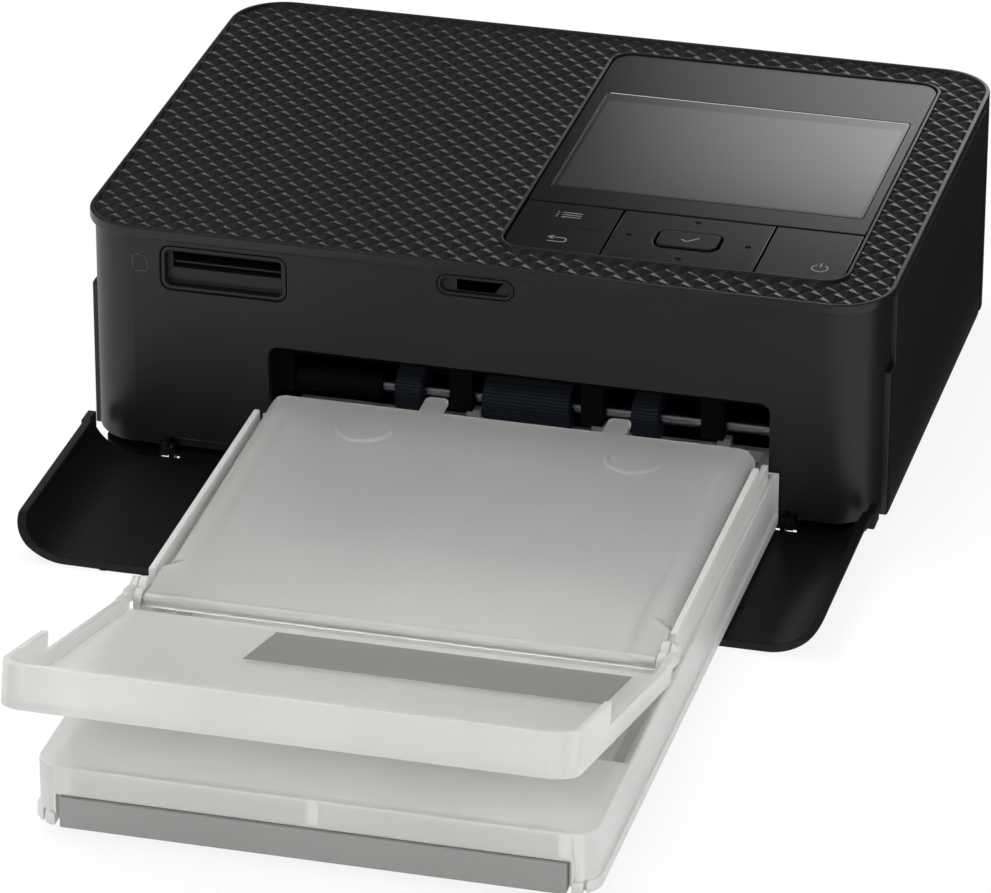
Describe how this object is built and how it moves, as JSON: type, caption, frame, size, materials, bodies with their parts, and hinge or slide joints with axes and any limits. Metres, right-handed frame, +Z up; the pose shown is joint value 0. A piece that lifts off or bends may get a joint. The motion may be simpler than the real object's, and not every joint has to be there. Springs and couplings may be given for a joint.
{
  "type": "compact photo printer",
  "caption": "Compact photo printer with tilted-up paper tray flap, lowered front cover, side ribbon door, display, keys and an inner paper drive.",
  "frame": {"origin": "on the table, under the middle of the whole footprint with the tray in and its flap raised", "axes": "+Z up, +Y towards the back of the printer, +X to the right as seen from the front"},
  "size_m": [0.1822, 0.3186, 0.0576],
  "materials": {
    "body_black": "fine satin grain",
    "textured_black": "moulded texture, satin",
    "panel_black": "smooth, half gloss",
    "display_glass": "polished",
    "key_black": "smooth satin",
    "frosted": "translucent, frosted",
    "grey_strip": "satin",
    "rubber_black": "matt",
    "rubber_blue": "matt, ribbed",
    "steel": "plain",
    "ivory": "moulded, satin",
    "board": "solder mask",
    "ribbon_grey": "satin",
    "film": "glossy film",
    "aluminium": "plain"
  },
  "bodies": {
    "printer": {"base_pan": "body_black", "rubber_feet": "rubber_black", "front_panel": "body_black", "left_side_panel": "body_black", "rear_panel": "body_black", "top_plate": "textured_black", "control_panel": "panel_black", "display_glass": "display_glass", "display_module": "steel", "key_board": "board", "card_slot_insert": "body_black", "card_socket": "steel", "catch_window": "body_black", "cover_pins": "steel", "door_pins": "steel", "ribbon_shell": "ribbon_grey", "ribbon_film": "film", "chassis_left": "steel", "chassis_right": "steel", "chassis_beam": "steel", "feed_frame": "body_black", "gear_posts": "steel", "drive_motor": "steel", "head_pivot": "steel", "paper_guide": "body_black", "main_board": "board", "power_jack": "body_black", "usb_socket": "steel"},
    "cover": {"front_cover": "body_black", "cover_lugs": "body_black"},
    "door": {"ribbon_door": "body_black"},
    "menu_key": {"menu_key": "key_black"},
    "nav_gimbal": {"nav_gimbal": "ivory"},
    "nav_pad": {"nav_pad": "key_black"},
    "ok_key": {"ok_key": "key_black"},
    "power_key": {"power_key": "key_black"},
    "supply": {"supply_spool": "film"},
    "takeup": {"takeup_spool": "film"},
    "pickup": {"pickup_shaft": "steel", "pickup_rollers": "rubber_blue", "pickup_gear": "ivory"},
    "transport": {"transport_roller": "steel", "transport_gear": "ivory"},
    "pinch": {"pinch_roller": "rubber_black"},
    "platen": {"platen_roller": "rubber_black", "platen_gear": "ivory"},
    "idler_front": {"idler_front": "ivory"},
    "idler_back": {"idler_back": "ivory"},
    "pinion": {"motor_pinion": "ivory"},
    "head": {"head_arm": "steel", "thermal_head": "aluminium"},
    "tray": {"tray_base": "frosted", "tray_strip": "grey_strip", "lid_pins": "frosted", "flap_pins": "frosted"},
    "lid": {"tray_lid": "frosted"},
    "flap": {"tray_flap": "frosted"},
    "lift": {"lift_plate": "steel"}
  },
  "joints": [
    {"name": "tray_slide", "type": "slide", "parent": "printer", "child": "tray", "axis": [0, -1, 0], "range_m": [0, 0.12]},
    {"name": "lid_hinge", "type": "hinge", "parent": "tray", "child": "lid", "pos_m": [0.0102, -0.07321, 0.0206], "axis": [1, 0, 0], "range_deg": [0, 110]},
    {"name": "flap_hinge", "type": "hinge", "parent": "tray", "child": "flap", "pos_m": [0.0102, -0.06961, 0.0213], "axis": [1, 0, 0], "range_deg": [-160, 0]},
    {"name": "lift_hinge", "type": "hinge", "parent": "tray", "child": "lift", "pos_m": [0.0102, -0.01961, 0.0083], "axis": [1, 0, 0], "range_deg": [0, 6]},
    {"name": "cover_hinge", "type": "hinge", "parent": "printer", "child": "cover", "pos_m": [0, 0.02719, 0.0036], "axis": [-1, 0, 0], "range_deg": [0, 0.8]},
    {"name": "door_hinge", "type": "hinge", "parent": "printer", "child": "door", "pos_m": [0.0901, 0.14369, 0.029], "axis": [0, 0, 1], "range_deg": [0, 95]},
    {"name": "menu_rock", "type": "hinge", "parent": "printer", "child": "menu_key", "pos_m": [0.01358, 0.05176, 0.0544], "axis": [1, 0, 0], "range_deg": [-2.5, 2.5], "stiffness_Nm_per_rad": 0.05},
    {"name": "nav_tilt_front", "type": "hinge", "parent": "printer", "child": "nav_gimbal", "pos_m": [0.042, 0.05176, 0.0542], "axis": [1, 0, 0], "range_deg": [-1.5, 1.5], "stiffness_Nm_per_rad": 0.05},
    {"name": "nav_tilt_side", "type": "hinge", "parent": "nav_gimbal", "child": "nav_pad", "pos_m": [0.042, 0.05176, 0.0542], "axis": [0, 1, 0], "range_deg": [-1.5, 1.5], "stiffness_Nm_per_rad": 0.05},
    {"name": "ok_press", "type": "slide", "parent": "printer", "child": "ok_key", "axis": [0, 0, -1], "range_m": [0, 0.0007], "stiffness_N_per_m": 300},
    {"name": "power_press", "type": "slide", "parent": "printer", "child": "power_key", "axis": [0, 0, -1], "range_m": [0, 0.0007], "stiffness_N_per_m": 300},
    {"name": "transport_spin", "type": "hinge", "parent": "printer", "child": "transport", "pos_m": [0.0102, 0.06479, 0.024], "axis": [1, 0, 0], "continuous": true},
    {"name": "pickup_spin", "type": "hinge", "parent": "printer", "child": "pickup", "pos_m": [0.0102, 0.03679, 0.021], "axis": [1, 0, 0], "continuous": true},
    {"name": "idler_front_spin", "type": "hinge", "parent": "printer", "child": "idler_front", "pos_m": [-0.054, 0.04783, 0.02914], "axis": [1, 0, 0], "continuous": true},
    {"name": "idler_back_spin", "type": "hinge", "parent": "printer", "child": "idler_back", "pos_m": [-0.054, 0.07979, 0.03343], "axis": [1, 0, 0], "continuous": true},
    {"name": "platen_spin", "type": "hinge", "parent": "printer", "child": "platen", "pos_m": [0.0102, 0.09479, 0.024], "axis": [1, 0, 0], "continuous": true},
    {"name": "pinion_spin", "type": "hinge", "parent": "printer", "child": "pinion", "pos_m": [-0.054, 0.10591, 0.03333], "axis": [1, 0, 0], "continuous": true},
    {"name": "pinch_spin", "type": "hinge", "parent": "printer", "child": "pinch", "pos_m": [0.0102, 0.06479, 0.0312], "axis": [1, 0, 0], "continuous": true},
    {"name": "head_lift", "type": "hinge", "parent": "printer", "child": "head", "pos_m": [0.0102, 0.10679, 0.04], "axis": [1, 0, 0], "range_deg": [-6, 0]},
    {"name": "takeup_spin", "type": "hinge", "parent": "printer", "child": "takeup", "pos_m": [0.0102, 0.11879, 0.039], "axis": [1, 0, 0], "continuous": true},
    {"name": "supply_spin", "type": "hinge", "parent": "printer", "child": "supply", "pos_m": [0.0102, 0.07879, 0.04], "axis": [1, 0, 0], "continuous": true}
  ],
  "couplings": [
    {"joint": "pickup_spin", "follows": "transport_spin", "ratio": 1.7143},
    {"joint": "idler_front_spin", "follows": "transport_spin", "ratio": -1.2},
    {"joint": "idler_back_spin", "follows": "transport_spin", "ratio": -1.2},
    {"joint": "platen_spin", "follows": "transport_spin", "ratio": 1},
    {"joint": "pinion_spin", "follows": "transport_spin", "ratio": -2},
    {"joint": "pinch_spin", "follows": "transport_spin", "ratio": -1.3333},
    {"joint": "supply_spin", "follows": "takeup_spin", "ratio": 0.44444}
  ]
}
